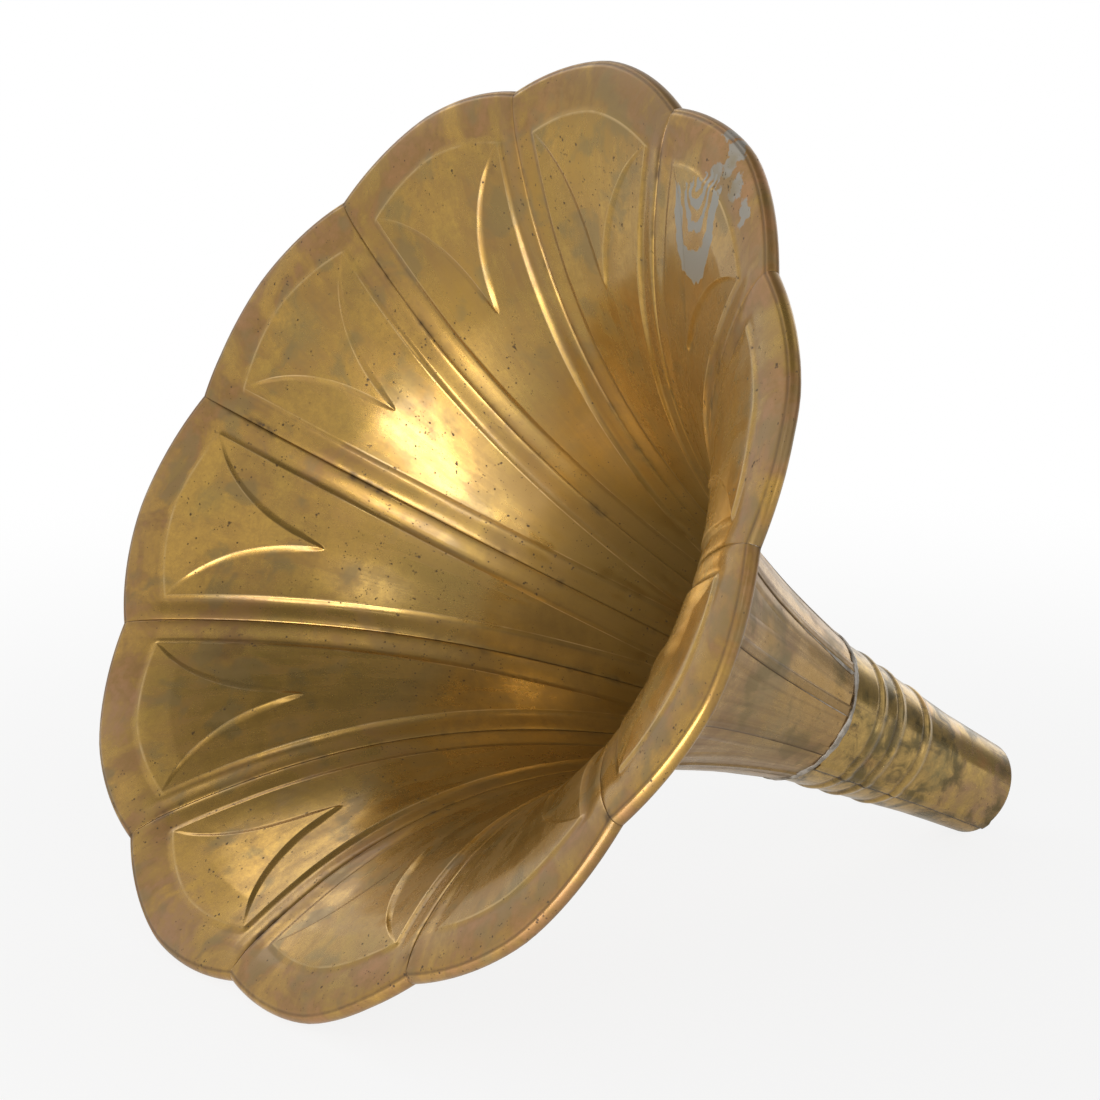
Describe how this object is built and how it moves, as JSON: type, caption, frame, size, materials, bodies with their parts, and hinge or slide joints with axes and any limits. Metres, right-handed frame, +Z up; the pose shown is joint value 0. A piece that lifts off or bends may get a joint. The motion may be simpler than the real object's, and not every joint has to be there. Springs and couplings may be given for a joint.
{
  "type": "phonograph horn",
  "caption": "Flared brass phonograph horn: lapped, scalloped petals soldered into a bell with a rolled rim, on a tapered neck with rolled beads.",
  "frame": {"origin": "bottom centre of the object's box, on the surface that the horn lies on", "axes": "+Y from the mouth towards the neck, along the surface; +Z up; the mouth faces -Y and upwards, and the horn's axis falls by 27.1 degrees towards the neck's end"},
  "size_m": [0.529, 0.5374, 0.4695],
  "materials": {
    "brass_bell": "aged lacquered brass, tarnished and pitted",
    "brass_neck": "aged polished brass, darker towards the end",
    "solder": "dull grey soft solder"
  },
  "bodies": {
    "root": {"petal_01": "brass_bell", "petal_02": "brass_bell", "petal_03": "brass_bell", "petal_04": "brass_bell", "petal_05": "brass_bell", "petal_06": "brass_bell", "petal_07": "brass_bell", "petal_08": "brass_bell", "petal_09": "brass_bell", "petal_10": "brass_bell", "petal_11": "brass_bell", "seam_solder_01": "solder", "seam_solder_02": "solder", "seam_solder_03": "solder", "seam_solder_04": "solder", "seam_solder_05": "solder", "seam_solder_06": "solder", "seam_solder_07": "solder", "seam_solder_08": "solder", "seam_solder_09": "solder", "seam_solder_10": "solder", "seam_solder_11": "solder", "neck_tube": "brass_neck", "throat_solder": "solder", "neck_seam_solder": "solder"}
  },
  "joints": []
}
